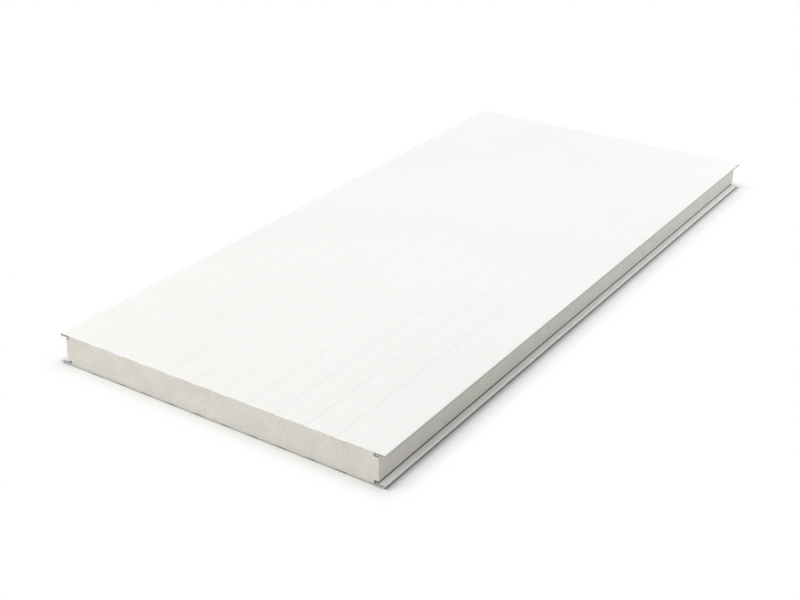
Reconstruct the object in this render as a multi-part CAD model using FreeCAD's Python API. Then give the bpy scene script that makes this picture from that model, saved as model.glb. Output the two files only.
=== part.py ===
import FreeCAD, Part

import math
import os

# Insulated sandwich panel: two roll-formed steel facings bonded to a rigid foam core.
#
# The panel lies flat. X runs across its width, Y along its length and Z up through its thickness.
# The origin is the centre of its underside. All lengths are in millimetres.
#
# Every piece has the same section all along the panel. Both facings are rolled to one profile, and
# the top one is the bottom one turned over. Across its width a facing is flat crests and shallow
# valleys. At each long edge it stands out past the core as a lip, which is bent up and back on itself
# as an open hem. The end of the hem reaches back over the edge of the core, which is rebated for it,
# and a slot is left there between steel and foam, for the strips that join one panel to the next.

# Overall size
panel_length = 2500.0
panel_width = 1180.0        # from the edge of one lip to the edge of the other
panel_thickness = 100.0     # from the crests of one facing to the crests of the other

# Profile of a facing
sheet_thickness = 0.5
rib_pitch = 100.0           # from the middle of one valley to the middle of the next
valley_width = 36.0         # at half of a valley's depth
valley_depth = 1.5
flank_run = 8.0             # width taken up by each sloping side of a valley
rib_bend_radius = 8.0       # at the outer surface
least_plain_edge = 110.0    # from a lip's edge to the middle of the nearest valley, at least

# Joint along both long edges
lip_overhang = 20.0         # how far a lip stands out past the side of the core
return_overlap = 15.0       # how far a hem reaches back past the side of the core
hem_height = 8.5            # over both legs of a hem
hem_bend_radius = 2.0       # at the outer surface
slot_height = 5.0           # from a hem to the foam

# Places in the section
lip_edge_x = panel_width / 2
core_side_x = lip_edge_x - lip_overhang
return_end_x = core_side_x - return_overlap
slot_foam_z = hem_height + slot_height


# A corner is (x, z, radius): the place where two flats of the section would meet, and the radius of
# the bend that joins them, or 0 where they meet at a sharp edge.

def valley_corners(middle_x):
    """The four bends of one valley of the bottom facing's outer surface, from left to right."""
    floor_half = (valley_width - flank_run) / 2
    mouth_half = (valley_width + flank_run) / 2
    return [
        (middle_x - mouth_half, 0, rib_bend_radius),
        (middle_x - floor_half, valley_depth, rib_bend_radius),
        (middle_x + floor_half, valley_depth, rib_bend_radius),
        (middle_x + mouth_half, 0, rib_bend_radius),
    ]


def rib_corners():
    """All bends between the two hems, with as many valleys as fit, centred on the panel."""
    spaces = math.floor((panel_width - 2 * least_plain_edge) / rib_pitch)
    corners = []
    for valley in range(spaces + 1):
        corners += valley_corners((valley - spaces / 2) * rib_pitch)
    return corners


def facing_corners():
    """The bottom facing's outer surface, from the end of its left hem to the end of its right hem."""
    left_hem = [
        (-return_end_x, hem_height, 0),
        (-lip_edge_x, hem_height, hem_bend_radius),
        (-lip_edge_x, 0, hem_bend_radius),
    ]
    right_hem = [(-x, z, radius) for x, z, radius in reversed(left_hem)]
    return left_hem + rib_corners() + right_hem


def direction(start, end):
    """The unit vector from one corner to another, as (x, z)."""
    run_x = end[0] - start[0]
    run_z = end[1] - start[1]
    length = math.hypot(run_x, run_z)
    return run_x / length, run_z / length


def offset(corners, distance):
    """An open line of corners moved sideways to its left, with every bend kept on its own centre."""
    runs = [direction(start, end) for start, end in zip(corners, corners[1:])]
    runs_in = runs[:1] + runs
    runs_out = runs + runs[-1:]
    moved = []
    for (x, z, radius), (in_x, in_z), (out_x, out_z) in zip(corners, runs_in, runs_out):
        mitre = distance / (1 + in_x * out_x + in_z * out_z)
        left_turn = in_x * out_z - in_z * out_x
        moved_radius = radius - math.copysign(distance, left_turn) if radius else 0
        moved.append((x - mitre * (in_z + out_z), z + mitre * (in_x + out_x), moved_radius))
    return moved


def turned_over(corners):
    """Corners after half a turn about the middle of the panel's section."""
    return [(-x, panel_thickness - z, radius) for x, z, radius in corners]


def bend_points(before, corner, after):
    """Start, middle and end of the arc at a corner. They are all the corner itself where it is sharp."""
    x, z, radius = corner
    in_x, in_z = direction(before, corner)
    out_x, out_z = direction(corner, after)
    half_turn = math.acos(in_x * out_x + in_z * out_z) / 2
    cut_back = radius * math.tan(half_turn)
    to_arc = radius * (1 / math.cos(half_turn) - 1)
    towards_centre = math.hypot(out_x - in_x, out_z - in_z)
    points = [
        (x - in_x * cut_back, z - in_z * cut_back),
        (x + (out_x - in_x) / towards_centre * to_arc, z + (out_z - in_z) / towards_centre * to_arc),
        (x + out_x * cut_back, z + out_z * cut_back),
    ]
    return [FreeCAD.Vector(point_x, -panel_length / 2, point_z) for point_x, point_z in points]


def rolled_out(corners):
    """The solid whose section has these corners, in order all the way round, along the whole panel."""
    neighbours = zip(corners[-1:] + corners, corners, corners[1:] + corners[:1])
    bends = [bend_points(before, corner, after) for before, corner, after in neighbours]
    edges = []
    for corner, (start, middle, end), (next_start, _, _) in zip(corners, bends, bends[1:] + bends[:1]):
        if corner[2]:
            edges.append(Part.Arc(start, middle, end).toShape())
        edges.append(Part.LineSegment(end, next_start).toShape())
    return Part.Face(Part.Wire(edges)).extrude(FreeCAD.Vector(0, panel_length, 0))


def bottom_facing_section():
    outer = facing_corners()
    inner = offset(outer, sheet_thickness)
    return outer + inner[::-1]


def core_section():
    """The foam fills both facings' valleys and crests, and steps in round each slot."""
    facing_between_hems = [(-return_end_x, 0, 0)] + rib_corners() + [(return_end_x, 0, 0)]
    underside_and_right_side = offset(facing_between_hems, sheet_thickness) + [
        (return_end_x, slot_foam_z, 0),
        (core_side_x, slot_foam_z, 0),
        (core_side_x, panel_thickness - slot_foam_z, 0),
        (return_end_x, panel_thickness - slot_foam_z, 0),
    ]
    return underside_and_right_side + turned_over(underside_and_right_side)


sections = {
    "bottom_steel_sheet": bottom_facing_section(),
    "foam_core": core_section(),
    "top_steel_sheet": turned_over(bottom_facing_section()),
}

os.makedirs("parts", exist_ok=True)
for name, section in sections.items():
    piece = rolled_out(section)
    piece.exportStep(f"parts/{name}.step")
    box = piece.BoundBox
    print(f"{name}: {box.XLength:.1f} x {box.YLength:.1f} x {box.ZLength:.1f} mm, "
          f"{piece.Volume / 1e6:.3f} litres, valid: {piece.isValid()}")
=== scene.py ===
# %% [markdown]
# # An insulated sandwich panel
# A panel like this clads cold rooms and clean rooms. It has three pieces: two thin white steel
# facings, and a block of rigid foam glued between them. The CAD model already holds their true
# sizes, so this lesson reads every place from it and spends its effort on what a drawing leaves
# out: rounded folds, cut steel edges, the open cells of sawn foam, and the light of a plain white
# studio.

# %% Load the CAD frame
import math
import random

import bmesh
import bpy
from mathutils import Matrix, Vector


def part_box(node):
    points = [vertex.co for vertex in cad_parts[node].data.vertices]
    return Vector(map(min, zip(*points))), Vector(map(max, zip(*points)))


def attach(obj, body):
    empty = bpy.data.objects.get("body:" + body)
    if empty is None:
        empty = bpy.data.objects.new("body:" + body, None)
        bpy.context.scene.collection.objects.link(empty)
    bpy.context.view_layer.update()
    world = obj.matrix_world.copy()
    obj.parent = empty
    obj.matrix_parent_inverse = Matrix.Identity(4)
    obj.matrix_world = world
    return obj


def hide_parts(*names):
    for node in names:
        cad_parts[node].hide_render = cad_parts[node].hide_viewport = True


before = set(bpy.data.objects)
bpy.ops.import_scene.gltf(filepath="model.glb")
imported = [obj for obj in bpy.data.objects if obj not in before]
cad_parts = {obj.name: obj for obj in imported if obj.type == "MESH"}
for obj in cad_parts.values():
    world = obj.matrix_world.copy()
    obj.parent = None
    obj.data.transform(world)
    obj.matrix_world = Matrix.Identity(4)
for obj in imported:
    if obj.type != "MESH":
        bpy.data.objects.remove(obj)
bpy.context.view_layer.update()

print("CAD nodes:", sorted(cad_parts))

# %% [markdown]
# ## Sizes
# Where one piece stops and the next begins can be measured on the CAD nodes. The top facing's box
# gives the width and how deep its hems are, and the core's box shows how far the lips overhang.
# Only the sizes of folds and ribs, which no box shows, are written out here.

# %% Measure the panel
mm = 0.001
facing_low, facing_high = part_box("top_steel_sheet")
core_low, core_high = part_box("foam_core")

half_width = facing_high.x
half_length = facing_high.y
panel_top = facing_high.z
middle_height = panel_top / 2
sheet_thickness = panel_top - core_high.z
hem_height = facing_high.z - facing_low.z
lip_overhang = facing_high.x - core_high.x

rib_pitch = 100 * mm
valley_count = 10
valley_width = 36 * mm      # at half of a valley's depth
valley_depth = 1.5 * mm
flank_run = 8 * mm          # width taken up by each sloping side of a valley
rib_bend_radius = 8 * mm
return_overlap = 15 * mm    # how far a hem reaches back past the side of the core
slot_height = 5 * mm        # from a hem to the foam
hem_bend_radius = 2 * mm
return_end = core_high.x - return_overlap

valley_middles = [(i - (valley_count - 1) / 2) * rib_pitch for i in range(valley_count)]
floor_half = (valley_width - flank_run) / 2
mouth_half = (valley_width + flank_run) / 2
fold_lines = sorted(middle + side * half for middle in valley_middles
                    for side in (-1, 1) for half in (floor_half, mouth_half))
print(f"panel {2 * half_width:.3f} x {2 * half_length:.3f} x {panel_top:.3f} m")
print(f"sheet {sheet_thickness / mm:.2f} mm, hem {hem_height / mm:.1f} mm, "
      f"lip {lip_overhang / mm:.0f} mm")

# %% [markdown]
# ## Hand tools
# Each piece is modelled as you would with the mouse: start from a primitive, go into edit mode,
# select some vertices, edges or faces, and run an operator. A script has no mouse, so `pick`
# selects by place instead: it takes each part of the mesh all of whose corners pass a test.

# %% Helpers for modelling in edit mode
touching = 0.01 * mm


def select_alone(piece):
    """Makes a piece the active object, and the only one selected."""
    bpy.ops.object.select_all(action="DESELECT")
    piece.select_set(True)
    bpy.context.view_layer.objects.active = piece


def start_piece(name, add_primitive, **settings):
    """Adds a primitive at the origin, alone in the selection, and goes into edit mode with it."""
    bpy.ops.object.select_all(action="DESELECT")
    add_primitive(**settings)
    piece = bpy.context.active_object
    piece.name = name
    piece.data.name = name
    bpy.ops.object.mode_set(mode="EDIT")
    return piece


def finish_piece():
    """Leaves edit mode."""
    bpy.ops.object.mode_set(mode="OBJECT")


def pick(piece, kind, wanted):
    """Selects the vertices, edges or faces of which every corner passes the test."""
    bpy.ops.mesh.select_mode(type=kind)
    bpy.ops.mesh.select_all(action="DESELECT")
    shape = bmesh.from_edit_mesh(piece.data)
    if kind == "VERT":
        parts = [(vertex, [vertex]) for vertex in shape.verts]
    else:
        parts = [(part, part.verts) for part in (shape.edges if kind == "EDGE" else shape.faces)]
    for part, corners in parts:
        if all(wanted(corner.co) for corner in corners):
            part.select = True
    shape.select_flush_mode()
    bmesh.update_edit_mesh(piece.data)


def keep_long_edges(piece):
    """Deselects the edges that run across the panel."""
    shape = bmesh.from_edit_mesh(piece.data)
    for edge in shape.edges:
        if abs(edge.verts[0].co.x - edge.verts[1].co.x) > touching:
            edge.select = False
    shape.select_flush_mode()
    bmesh.update_edit_mesh(piece.data)


def cut_across(place, direction):
    """Cuts the whole mesh with a plane through place, at right angles to direction."""
    bpy.ops.mesh.select_all(action="SELECT")
    bpy.ops.mesh.bisect(plane_co=place, plane_no=direction)


def apply_modifier(piece, kind, **settings):
    """Adds a modifier, sets it up and applies it, so that its result is the mesh."""
    modifier = piece.modifiers.new(kind.title(), kind)
    for name, value in settings.items():
        setattr(modifier, name, value)
    select_alone(piece)
    bpy.ops.object.modifier_apply(modifier=modifier.name)


def triangles(piece):
    """How many triangles a piece's mesh has."""
    piece.data.calc_loop_triangles()
    return len(piece.data.loop_triangles)


# %% [markdown]
# ### Ribs
# The ribs of the steel and of the foam under it are made in the same three moves: cut the mesh
# along each fold line, push the valley floors into the panel, and bevel the fold lines. A bevel
# turns a fold into an arc, and the distance it cuts back is the bend radius times the tangent of
# half the fold.

# %% Helpers for the ribs
flank_angle = math.atan2(valley_depth, flank_run)
rib_fold_back = rib_bend_radius * math.tan(flank_angle / 2)
rib_fold_segments = 3


def cut_fold_lines():
    """Cuts the piece in edit mode along every fold line."""
    for fold_x in fold_lines:
        cut_across((fold_x, 0, 0), (1, 0, 0))


def on_valley_floor(point):
    return any(abs(point.x - middle) < floor_half + touching for middle in valley_middles)


def sink_valley_floors(piece, skin_z, inward):
    """Moves the valley floors at one height by their depth, up if inward is 1 and down if -1."""
    pick(piece, "VERT", lambda point: on_valley_floor(point) and abs(point.z - skin_z) < touching)
    bpy.ops.transform.translate(value=(0, 0, inward * valley_depth))


def round_rib_folds(piece, skin_z):
    """Rounds the fold lines on the crests and valley floors near one height."""
    pick(piece, "EDGE", lambda point: any(abs(point.x - fold_x) < touching for fold_x in fold_lines)
         and abs(point.z - skin_z) < 2 * valley_depth)
    keep_long_edges(piece)
    bpy.ops.mesh.bevel(offset=rib_fold_back, segments=rib_fold_segments, affect="EDGES")


# %% [markdown]
# ## The top facing
# A rolling mill folds the sheet from one flat strip. You could draw its section and extrude it, or
# model it flat and fold it as the mill does. Folding teaches more and needs fewer numbers: after
# the ribs, extrude both long edges down and back under to make the open hems. The folds stay sharp
# until they are all in place.

# %% Fold the top facing
facing = start_piece("top_facing", bpy.ops.mesh.primitive_plane_add, size=1)
bpy.ops.transform.resize(value=(2 * half_width, 2 * half_length, 1))
bpy.ops.transform.translate(value=(0, 0, panel_top))
cut_fold_lines()
sink_valley_floors(facing, panel_top, -1)

hem_folds = 4               # two along each long edge
for side in (-1, 1):
    pick(facing, "EDGE", lambda point: abs(point.x - side * half_width) < touching)
    bpy.ops.mesh.extrude_region_move(TRANSFORM_OT_translate={"value": (0, 0, -hem_height)})
    back_under = -side * (half_width - return_end)
    bpy.ops.mesh.extrude_region_move(TRANSFORM_OT_translate={"value": (back_under, 0, 0)})
print("folds in the facing:", len(fold_lines) + hem_folds)

# %% [markdown]
# ### Rounded folds and real thickness
# Steel can't fold to a knife edge, so every fold gets a bevel. Bevel before Solidify, so that the
# inner side gets a radius smaller by the sheet's thickness, as in real bent sheet. Solidify also
# puts that inner side into a vertex group, so that it can have its own finish later.

# %% Round the folds and thicken the sheet
hem_low = panel_top - hem_height
hem_fold_segments = 6

round_rib_folds(facing, panel_top)
for fold_z in (panel_top, hem_low):
    for side in (-1, 1):
        pick(facing, "EDGE", lambda point: abs(point.x - side * half_width) < touching
             and abs(point.z - fold_z) < touching)
        bpy.ops.mesh.bevel(offset=hem_bend_radius, segments=hem_fold_segments, affect="EDGES")
finish_piece()
facing.vertex_groups.new(name="backing_side")
apply_modifier(facing, "SOLIDIFY", thickness=sheet_thickness, offset=-1, use_even_offset=True,
               shell_vertex_group="backing_side")
print("top facing:", triangles(facing), "triangles, box",
      [round(size, 4) for size in facing.dimensions])

# %% [markdown]
# ## The bottom facing
# Both facings come off the same rolls, and one is turned over before the foam goes in. So the
# bottom facing is a copy of the top one, with its own mesh, after half a turn about the panel's
# long axis.

# %% Turn a copy over
select_alone(facing)
bpy.ops.object.duplicate(linked=False)
lower_facing = bpy.context.active_object
lower_facing.name = "bottom_facing"
lower_facing.data.name = "bottom_facing"
bpy.ops.object.mode_set(mode="EDIT")
bpy.ops.mesh.select_all(action="SELECT")
bpy.ops.transform.rotate(value=math.pi, orient_axis="Y", center_override=(0, 0, middle_height))
finish_piece()
lowest = min(corner.co.z for corner in lower_facing.data.vertices)
print("bottom facing lies from z =", round(lowest, 5))

# %% [markdown]
# ## The foam core
# The core fills the ribs of both facings and steps in beside each hem. Start from a block between
# the ends of the two hems, extrude the middle band of each side out to make the tongue, then give
# its top and underside the same ribs. The saw leaves foam a hair behind the steel, so the block's
# ends stop short by a fifth of a millimetre.

# %% Model the foam block
saw_setback = 0.2 * mm
slot_low = hem_height + slot_height
slot_high = panel_top - slot_low
core_half_length = half_length - saw_setback

core = start_piece("foam_block", bpy.ops.mesh.primitive_cube_add, size=1)
bpy.ops.transform.resize(value=(2 * return_end, 2 * core_half_length, core_high.z - core_low.z))
bpy.ops.transform.translate(value=(0, 0, middle_height))
for step_z in (slot_low, slot_high):
    cut_across((0, 0, step_z), (0, 0, 1))
for side in (-1, 1):
    pick(core, "FACE", lambda point: abs(point.x - side * return_end) < touching
         and slot_low - touching < point.z < slot_high + touching)
    outward = side * return_overlap
    bpy.ops.mesh.extrude_region_move(TRANSFORM_OT_translate={"value": (outward, 0, 0)})

cut_fold_lines()
for skin_z, inward in ((core_high.z, -1), (core_low.z, 1)):
    sink_valley_floors(core, skin_z, inward)
    round_rib_folds(core, skin_z)
finish_piece()
print("foam block:", triangles(core), "triangles, box",
      [round(size, 4) for size in core.dimensions])

# %% [markdown]
# ## Open cells in the sawn foam
# A saw opens the larger bubbles in the foam, and each leaves a small pit. Bump mapping can draw
# them, but it never shadows itself, so the pits here are real: one bubble is modelled, copied with
# its own mesh to places drawn from a seeded random number, and all the bubbles are cut from the
# block with a single Boolean. Bubbles keep clear of each other and of the block's edges, because a
# Boolean is fastest and safest when nothing else crosses.

# %% Choose places for bubbles on the ends and the sides
bubbles_per_end = 340
bubbles_per_side = 420
tries_per_bubble = 20
edge_clearance = 0.8 * mm
bubble_clearance = 0.4 * mm
smallest_radius = 0.7       # of a bubble, in millimetres
radius_spread = 1.5         # from the smallest to the largest
least_axes = (0.8, 0.8, 0.7)    # of a squashed bubble along X, Y and Z, in radii
valley_room = sheet_thickness + valley_depth
past_end = 0.25             # how far outside an end a bubble's centre lies, in bubble radii
past_side = 0.45            # the same for the long sides
scatter = random.Random(11)


def bubble_radius():
    """A random radius, small far more often than large."""
    return (smallest_radius + radius_spread * scatter.random() ** 3) * mm


def bubble_places(count, across_half, low, high, to_point):
    """Random (place, radius) pairs on one face of the block, none touching another."""
    places = []
    tries = 0
    while len(places) < count and tries < tries_per_bubble * count:
        tries += 1
        radius = bubble_radius()
        room = radius + edge_clearance
        across = scatter.uniform(-across_half + room, across_half - room)
        height = scatter.uniform(low + room, high - room)
        centre = to_point(across, height, radius)
        if all((centre - other).length > radius + other_radius + bubble_clearance
               for other, other_radius in places):
            places.append((centre, radius))
    return places


bubbles = []
for end in (-1, 1):
    bubbles += bubble_places(
        bubbles_per_end, return_end, valley_room, panel_top - valley_room,
        lambda x, z, radius: Vector((x, end * (core_half_length + past_end * radius), z)))
for side in (-1, 1):
    bubbles += bubble_places(
        bubbles_per_side, core_half_length, slot_low, slot_high,
        lambda y, z, radius: Vector((side * (core_high.x + past_side * radius), y, z)))
print("bubbles placed:", len(bubbles))

# %% Model a bubble and copy it to every place
bubble = start_piece("bubble", bpy.ops.mesh.primitive_ico_sphere_add, subdivisions=2, radius=1)
finish_piece()
cutters = []
for centre, radius in bubbles:
    cutter = bubble.copy()
    cutter.data = bubble.data.copy()
    axes = [scatter.uniform(least, 1.0) for least in least_axes]
    for vertex in cutter.data.vertices:
        vertex.co = centre + radius * Vector(axis * along for axis, along in zip(axes, vertex.co))
    bpy.context.scene.collection.objects.link(cutter)
    cutters.append(cutter)
bpy.data.objects.remove(bubble)

# %% Cut the bubbles out of the block
bpy.ops.object.select_all(action="DESELECT")
for cutter in cutters:
    cutter.select_set(True)
bpy.context.view_layer.objects.active = cutters[0]
bpy.ops.object.join()
all_bubbles = bpy.context.active_object
apply_modifier(core, "BOOLEAN", object=all_bubbles, operation="DIFFERENCE", solver="EXACT")
bpy.data.objects.remove(all_bubbles)
print("foam block with", len(bubbles), "open cells:", triangles(core), "triangles")

# %% [markdown]
# ## Smooth the folds, not the flats
# Smooth shading blends the normals of neighbouring faces. On a wide flat beside a narrow fold that
# blend would spread over the flat and make it look inflated. Shading smooth by angle and then
# weighting normals by face area keeps the crests flat and lets only the folds turn.

# %% Shade the three pieces
sharp_from = math.radians(35)
for piece in (facing, lower_facing, core):
    select_alone(piece)
    bpy.ops.object.shade_smooth_by_angle(angle=sharp_from)
    apply_modifier(piece, "WEIGHTED_NORMAL", mode="FACE_AREA", weight=100, keep_sharp=True)
    print(piece.name, "shaded,", len(piece.data.polygons), "faces")

# %% [markdown]
# ## Materials
# Every material below starts from a Principled shader and reads Object coordinates, which are
# metres from the panel's origin, so a pattern has its real size: a texture of scale 100 repeats
# about every centimetre. `node` adds a node, sets its values and wires its inputs in one call. The
# other helpers are for the nodes that come back most often, and each returns the node's output.

# %% Helpers for materials
def node(tree, kind, values=None, wires=None, **settings):
    """Adds a node. values fill its sockets, wires link them, and settings are its own options."""
    made = tree.nodes.new(kind)
    for name, value in settings.items():
        setattr(made, name, value)
    for socket, value in (values or {}).items():
        made.inputs[socket].default_value = value
    for socket, source in (wires or {}).items():
        tree.links.new(source, made.inputs[socket])
    return made


def new_material(name):
    """A material, its node tree, its Principled shader and the output of its coordinates."""
    material = bpy.data.materials.new(name)
    material.use_nodes = True
    tree = material.node_tree
    place = node(tree, "ShaderNodeTexCoord").outputs["Object"]
    return material, tree, tree.nodes["Principled BSDF"], place


def compute(tree, operation, first, second):
    """A Math node. The first input is a socket, and the second a socket or a plain number."""
    if isinstance(second, (int, float)):
        made = node(tree, "ShaderNodeMath", {1: second}, {0: first}, operation=operation)
    else:
        made = node(tree, "ShaderNodeMath", wires={0: first, 1: second}, operation=operation)
    return made.outputs[0]


def compute_vector(tree, operation, first, second=None):
    """A Vector Math node. The first input is a socket, and the second, if any, a plain vector."""
    values = None if second is None else {1: second}
    made = node(tree, "ShaderNodeVectorMath", values, {0: first}, operation=operation)
    return made.outputs["Value" if operation == "LENGTH" else "Vector"]


def noise(tree, place, scale, detail, roughness=0.5):
    made = node(tree, "ShaderNodeTexNoise",
                {"Scale": scale, "Detail": detail, "Roughness": roughness}, {"Vector": place})
    return made.outputs["Fac"]


def mapped(tree, value, from_range, to_range):
    """A value moved from one range to another, and held at the ends."""
    made = node(tree, "ShaderNodeMapRange",
                {"From Min": from_range[0], "From Max": from_range[1],
                 "To Min": to_range[0], "To Max": to_range[1]}, {"Value": value})
    return made.outputs[0]


def ramp(tree, value, *stops):
    """A colour ramp through (position, colour) stops, in order."""
    made = node(tree, "ShaderNodeValToRGB", wires={"Fac": value})
    elements = made.color_ramp.elements
    for element, (position, colour) in zip(elements, (stops[0], stops[-1])):
        element.position = position
        element.color = colour
    for position, colour in stops[1:-1]:
        elements.new(position).color = colour
    return made.outputs["Color"]


def covered(tree, mask, base, colour):
    """The base where the mask is 0, and the colour where it is 1."""
    made = node(tree, "ShaderNodeMix", {"B": colour}, {"Factor": mask, "A": base}, data_type="RGBA")
    return made.outputs["Result"]


def bump(tree, height, strength, distance, under=None):
    """A Bump node, on top of the bump under it if there is one."""
    wires = {"Height": height}
    if under is not None:
        wires["Normal"] = under
    made = node(tree, "ShaderNodeBump", {"Strength": strength, "Distance": distance}, wires)
    return made.outputs[0]


def from_srgb(red, green, blue):
    """A colour given as 0 to 255 screen values, in the linear values that shaders use."""
    def linear(value):
        share = value / 255
        return share / 12.92 if share <= 0.04045 else ((share + 0.055) / 1.055) ** 2.4
    return (linear(red), linear(green), linear(blue), 1)


# %% [markdown]
# ### White coil coating
# The coating is baked on before the sheet is folded. Up close it has a faint orange peel about a
# millimetre across, and long streaks a few millimetres wide along the way the coil ran. Both are
# far too shallow to model, so they are bump. The streaks also change the roughness a little, which
# keeps reflections from looking printed, and the white drifts by a shade over half a metre. Two
# greys at the joints are painted shade: the outer face of the upper facing's rim, which stands in
# shade, is painted mid grey, and the leg of a hem inside its slot, deep in shade, is painted a
# darker grey. Masks made from the place of each point tell them apart.

# %% Make the coated steel
# Painted shade: from here outwards the upper rim's outer face is painted grey, and a slot's leg a
# darker grey.
rim_shade_from = half_width - 0.4 * mm
half_way_up_hem = (panel_top - middle_height) - hem_height / 2      # from the middle height
rim_shade_grey = from_srgb(196, 195, 190)
slot_shade_grey = from_srgb(132, 133, 132)


def coated_steel():
    material, tree, shader, place = new_material("white_coated_steel")
    along_coil = node(tree, "ShaderNodeMapping", {"Scale": (260, 1.2, 260)}, {"Vector": place})
    streaks = noise(tree, along_coil.outputs[0], 1.0, 3.0)
    peel = noise(tree, place, 700.0, 2.0)
    clouds = noise(tree, place, 2.2, 3.0)
    coat = ramp(tree, clouds, (0.3, from_srgb(246, 245, 243)), (0.7, from_srgb(249, 248, 246)))

    # Painted shade: the upper rim, |x| beyond where that shade starts and above the middle, is
    # painted grey. A slot's leg, |x| short of the foam's side and nearer the middle than half-way
    # up a hem, is painted a darker grey.
    centred = node(tree, "ShaderNodeMapping", {"Location": (0, 0, -middle_height)},
                   {"Vector": place}).outputs[0]
    mirrored = compute_vector(tree, "ABSOLUTE", centred)
    signed = node(tree, "ShaderNodeSeparateXYZ", wires={0: centred})
    unsigned = node(tree, "ShaderNodeSeparateXYZ", wires={0: mirrored})
    past_rim = compute(tree, "GREATER_THAN", unsigned.outputs["X"], rim_shade_from)
    upper = compute(tree, "GREATER_THAN", signed.outputs["Z"], 0.0)
    short_of_side = compute(tree, "LESS_THAN", unsigned.outputs["X"], core_high.x)
    inner_leg = compute(tree, "LESS_THAN", unsigned.outputs["Z"], half_way_up_hem)
    painted_rim_shade = compute(tree, "MULTIPLY", past_rim, upper)
    painted_slot_shade = compute(tree, "MULTIPLY", short_of_side, inner_leg)
    # Painted shade: grey over the upper rim's outer face, and a darker grey over each hem's leg
    # inside its slot.
    finish = covered(tree, painted_rim_shade, coat, rim_shade_grey)
    finish = covered(tree, painted_slot_shade, finish, slot_shade_grey)
    tree.links.new(finish, shader.inputs["Base Color"])

    gloss = mapped(tree, streaks, (0.0, 1.0), (0.5, 0.65))
    tree.links.new(gloss, shader.inputs["Roughness"])
    shader.inputs["Specular IOR Level"].default_value = 0.25
    streak_bump = bump(tree, streaks, 0.15, 0.02 * mm)
    tree.links.new(bump(tree, peel, 0.3, 0.02 * mm, streak_bump), shader.inputs["Normal"])
    return material


# %% [markdown]
# ### Backing coat with painted hem shade, and cut steel
# The side of the sheet that meets the foam has only a thin pale grey backing coat, which shows
# inside the open hems; its grey is partly the coat's own and partly painted shade that darkens the
# hollows inside the hems. Where the saw went through, a half-millimetre line of zinc and steel
# shows, scratched along the saw's way. Each gets a material of its own.

# %% Make the backing coat and its painted hem shade
def backing_coat_and_hem_shade():
    material, tree, shader, place = new_material("backing_coat_with_hem_shade")
    mottle = noise(tree, place, 180.0, 3.0)
    # Partly the backing coat's own grey, partly painted shade for the hollows inside the hems.
    tint = ramp(tree, mottle, (0.0, from_srgb(232, 233, 230)), (1.0, from_srgb(243, 243, 240)))
    tree.links.new(tint, shader.inputs["Base Color"])
    shader.inputs["Roughness"].default_value = 0.65
    return material


# %% Make the cut steel
def cut_steel():
    material, tree, shader, place = new_material("bare_cut_steel")
    along_saw = node(tree, "ShaderNodeMapping", {"Scale": (90, 900, 2500)}, {"Vector": place})
    scratches = noise(tree, along_saw.outputs[0], 1.0, 2.0)
    tint = ramp(tree, scratches, (0.0, from_srgb(205, 206, 205)), (1.0, from_srgb(240, 240, 238)))
    tree.links.new(tint, shader.inputs["Base Color"])
    shader.inputs["Metallic"].default_value = 0.35
    shader.inputs["Roughness"].default_value = 0.45
    return material


# %% [markdown]
# ### Rigid foam
# Sawn foam is a cut through thousands of closed cells. Patterns at four sizes describe it: cells
# about a millimetre wide, a mottle of a centimetre or less where the cells run larger or smaller,
# soft clouds a few centimetres wide where the foam rose unevenly, and scattered specks, a few dark
# and a few pale. The cells are bump alone, and the mottle is both colour and bump, so the surface
# catches light like a fine sponge.

# %% Make the foam
mottle_grey = from_srgb(202, 200, 192)
speck_kinds = ((62.0, 0.11, from_srgb(178, 174, 162)),      # scale, reach and colour of dark specks
               (47.0, 0.09, from_srgb(242, 240, 232)))      # and of pale ones


def rigid_foam():
    material, tree, shader, place = new_material("cream_rigid_foam")
    cells = node(tree, "ShaderNodeTexVoronoi", {"Scale": 900.0, "Randomness": 1.0},
                 {"Vector": place})
    mottle = noise(tree, place, 130.0, 4.0, 0.62)
    clouds = noise(tree, place, 16.0, 3.0)

    colour = ramp(tree, clouds, (0.35, from_srgb(215, 213, 205)), (0.65, from_srgb(223, 221, 211)))
    mottle_mask = mapped(tree, mottle, (0.4, 0.65), (0.0, 0.42))
    colour = covered(tree, mottle_mask, colour, mottle_grey)
    for scale, reach, speck_colour in speck_kinds:
        specks = node(tree, "ShaderNodeTexVoronoi", {"Scale": scale}, {"Vector": place})
        speck_mask = mapped(tree, specks.outputs["Distance"], (0.6 * reach, reach), (1.0, 0.0))
        colour = covered(tree, speck_mask, colour, speck_colour)
    tree.links.new(colour, shader.inputs["Base Color"])
    shader.inputs["Roughness"].default_value = 0.92
    shader.inputs["Specular IOR Level"].default_value = 0.25

    cell_bump = bump(tree, cells.outputs["Distance"], 0.5, 0.3 * mm)
    tree.links.new(bump(tree, mottle, 0.5, 1.2 * mm, cell_bump), shader.inputs["Normal"])
    return material


# %% Dress the pieces
coating = coated_steel()
backing_and_hem_shade = backing_coat_and_hem_shade()
bare_edge = cut_steel()
finishes = [coating, backing_and_hem_shade, bare_edge]
for piece in (facing, lower_facing):
    piece.data.materials.clear()
    for finish in finishes:
        piece.data.materials.append(finish)
    on_backing = {corner.index for corner in piece.data.vertices if corner.groups}
    for face in piece.data.polygons:
        if abs(abs(face.center.y) - half_length) < touching:
            face.material_index = finishes.index(bare_edge)
        elif on_backing.issuperset(face.vertices):
            face.material_index = finishes.index(backing_and_hem_shade)
    counts = [sum(face.material_index == index for face in piece.data.polygons)
              for index in range(len(finishes))]
    print(f"{piece.name}: {counts[0]} coated, {counts[1]} backing and {counts[2]} cut faces")
    piece.vertex_groups.clear()
core.data.materials.clear()
core.data.materials.append(rigid_foam())

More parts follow.
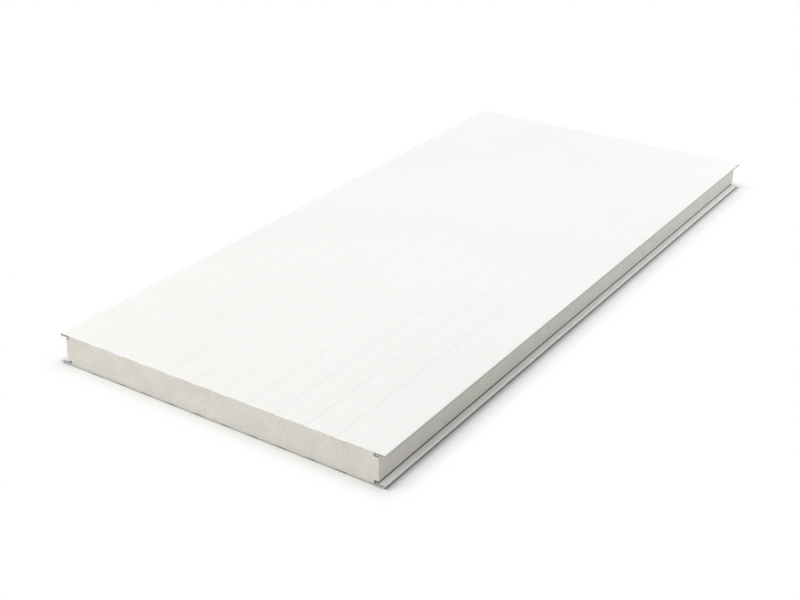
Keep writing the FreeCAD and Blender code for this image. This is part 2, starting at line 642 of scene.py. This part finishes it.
# %% [markdown]
# ## Join the pieces to the frame
# Each new piece stands for one CAD node. It rides on the panel's only body and hides the node it
# replaces. The table also lists the record's slot for each finish, which the code does not use.

# %% Replace the CAD nodes
for piece, cad_node, slot in ((facing, "top_steel_sheet", "painted_steel"),
                              (core, "foam_core", "rigid_foam"),
                              (lower_facing, "bottom_steel_sheet", "painted_steel")):
    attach(piece, "root")
    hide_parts(cad_node)
print("pieces in place of CAD nodes:", facing.name, core.name, lower_facing.name)

# %% [markdown]
# ## Floor and background
# The floor is a pale diffuse plane, so that it keeps the panel's shadow. A studio's white sweep is
# often overexposed until it vanishes. Here the lamps stay at a plain level, so the floor does it
# for the camera alone: away from the panel its shader fades to plain white for rays that come from
# the camera, from a reflection or through glass. The rays that light the panel still meet the plain
# floor. Large soft lamps leave hardly any dark line where a panel touches down, so a contact shadow
# is painted into the floor's colour close to it, darkest right at the touch, in a wider band beside
# the hems than in front of the sawn ends.

# %% Helpers for what only the camera sees
def seen_by_camera(tree):
    """1 for a ray from the camera, a reflection or a refraction, 0 for rays that carry light."""
    rays = node(tree, "ShaderNodeLightPath")
    seen = compute(tree, "MAXIMUM", rays.outputs["Is Camera Ray"], rays.outputs["Is Glossy Ray"])
    return compute(tree, "MAXIMUM", seen, rays.outputs["Is Transmission Ray"])


def grey(level):
    return (level, level, level, 1)


# %% Lay the floor
backdrop_white = grey(1)
shadow_gone_by = 0.08       # metres from the panel's outline
# Painted contact shadow: within this reach the floor's colour darkens towards the panel.
painted_shade_reach = 0.022       # metres too, the width of the dark band beside the hems
narrower_by = 3             # how many times narrower that band is in front of the sawn ends

floor = start_piece("studio_floor", bpy.ops.mesh.primitive_plane_add, size=40)
finish_piece()
floor_paint, floor_tree, floor_shader, place = new_material("pale_floor")
floor_shader.inputs["Roughness"].default_value = 0.9
floor_shader.inputs["Specular IOR Level"].default_value = 0.1

# What is left of |place| past half the panel's size points away from the panel's outline, and its
# length is the distance.
mirrored = compute_vector(floor_tree, "ABSOLUTE", place)
past_edges = compute_vector(floor_tree, "SUBTRACT", mirrored, (half_width, half_length, 0))
outside = compute_vector(floor_tree, "MAXIMUM", past_edges, (0, 0, 0))
distance = compute_vector(floor_tree, "LENGTH", outside)
narrower_at_ends = compute_vector(floor_tree, "MULTIPLY", outside, (1, narrower_by, 1))
painted_shade_distance = compute_vector(floor_tree, "LENGTH", narrower_at_ends)
# Painted contact shadow: the floor's colour runs from dark grey at the touch to pale grey at the
# reach.
painted_contact_shade = mapped(floor_tree, painted_shade_distance, (0.0, painted_shade_reach), (0.0, 1.0))
floor_with_painted_shade = ramp(floor_tree, painted_contact_shade, (0.0, grey(0.16)), (0.3, grey(0.62)), (1.0, grey(0.97)))
floor_tree.links.new(floor_with_painted_shade, floor_shader.inputs["Base Color"])

fade = node(floor_tree, "ShaderNodeMapRange", {"From Max": shadow_gone_by}, {"Value": distance},
            interpolation_type="SMOOTHSTEP")
faded = compute(floor_tree, "MULTIPLY", fade.outputs[0], seen_by_camera(floor_tree))
plain_white = node(floor_tree, "ShaderNodeEmission", {"Color": backdrop_white, "Strength": 1.0})
floor_mix = node(floor_tree, "ShaderNodeMixShader",
                 wires={0: faded, 1: floor_shader.outputs[0], 2: plain_white.outputs[0]})
floor_output = floor_tree.nodes["Material Output"]
floor_tree.links.new(floor_mix.outputs[0], floor_output.inputs["Surface"])
floor.data.materials.append(floor_paint)
print("floor is plain white to the camera from", shadow_gone_by, "m off the panel")

# %% [markdown]
# ## World
# Beyond the floor the world is the same plain white to the camera and in reflections. What lights
# the panel is a separate, much lower strength: it stands for light bounced off the walls of the
# studio.

# %% Light the world
world_strength = 0.3
world = bpy.data.worlds.new("white_studio")
bpy.context.scene.world = world
world.use_nodes = True
sky = world.node_tree
sky.nodes.clear()
lighting = node(sky, "ShaderNodeBackground", {"Color": grey(1), "Strength": world_strength})
backdrop = node(sky, "ShaderNodeBackground", {"Color": backdrop_white, "Strength": 1.0})
chosen = node(sky, "ShaderNodeMixShader",
              wires={0: seen_by_camera(sky), 1: lighting.outputs[0], 2: backdrop.outputs[0]})
node(sky, "ShaderNodeOutputWorld", wires={"Surface": chosen.outputs[0]})
print("world lights the panel at", world_strength)

# %% [markdown]
# ## Lamps
# Five softboxes stand round the panel. The key, at the left and a little to the front, makes one
# side of each rib a shade darker than the other. Two more hang overhead, one over the panel and one
# past its far left corner, and keep the shadows short. A low one at the front shows the sawn end,
# and a cool one past the far right corner lifts the joint towards that end without washing out the
# shadow beside it. Together they bring a flat white surface to just below white, so each colour
# renders about as it is written.

# %% Place the softboxes
def softbox(name, place, target, size, power, colour):
    """A square area lamp at a place, turned to face a target."""
    lamp = bpy.data.lights.new(name, "AREA")
    lamp.shape = "SQUARE"
    lamp.size = size
    lamp.energy = power
    lamp.color = colour
    holder = bpy.data.objects.new(name, lamp)
    bpy.context.scene.collection.objects.link(holder)
    holder.location = place
    towards = Vector(target) - Vector(place)
    holder.rotation_euler = towards.to_track_quat("-Z", "Y").to_euler()
    print(f"{name}: {power} W from {place}")


warm = (1.0, 0.99, 0.975)
neutral = (1.0, 1.0, 1.0)
cool = (0.96, 0.98, 1.0)
origin = (0.0, 0.0, 0.0)
softbox("key_softbox", (-4.9, -2.8, 4.2), origin, size=2.0, power=160, colour=warm)
softbox("back_softbox", (-1.5, 3.0, 3.0), (-1.5, 3.0, 0.0), size=1.5, power=26, colour=neutral)
softbox("top_softbox", (0.0, -0.3, 4.0), (0.0, -0.3, 0.0), size=2.0, power=43, colour=neutral)
softbox("front_softbox", (0.0, -4.28, 1.4), origin, size=1.6, power=35.6, colour=warm)
softbox("right_softbox", (2.75, 2.75, 2.25), origin, size=1.6, power=57, colour=cool)

# %% [markdown]
# ## Camera
# The camera has a long lens and stands well back from the near right corner, looking down, so that
# the sawn end, one joint and the whole top show at once with little perspective.

# %% Place the camera
camera_turn = math.radians(33.84)
camera_tilt = math.radians(26.94)
camera_distance = 4.510
aim = Vector((-0.1058, -0.1436, -0.1187))

view_from = Vector((math.sin(camera_turn) * math.cos(camera_tilt),
                    -math.cos(camera_turn) * math.cos(camera_tilt),
                    math.sin(camera_tilt)))
lens = bpy.data.cameras.new("camera")
lens.sensor_width = 36
lens.lens = 57.5
camera = bpy.data.objects.new("camera", lens)
bpy.context.scene.collection.objects.link(camera)
camera.location = aim + camera_distance * view_from
camera.rotation_euler = (-view_from).to_track_quat("-Z", "Y").to_euler()
bpy.context.scene.camera = camera
bpy.context.scene.view_settings.view_transform = "Standard"
print("camera at", [round(value, 3) for value in camera.location])
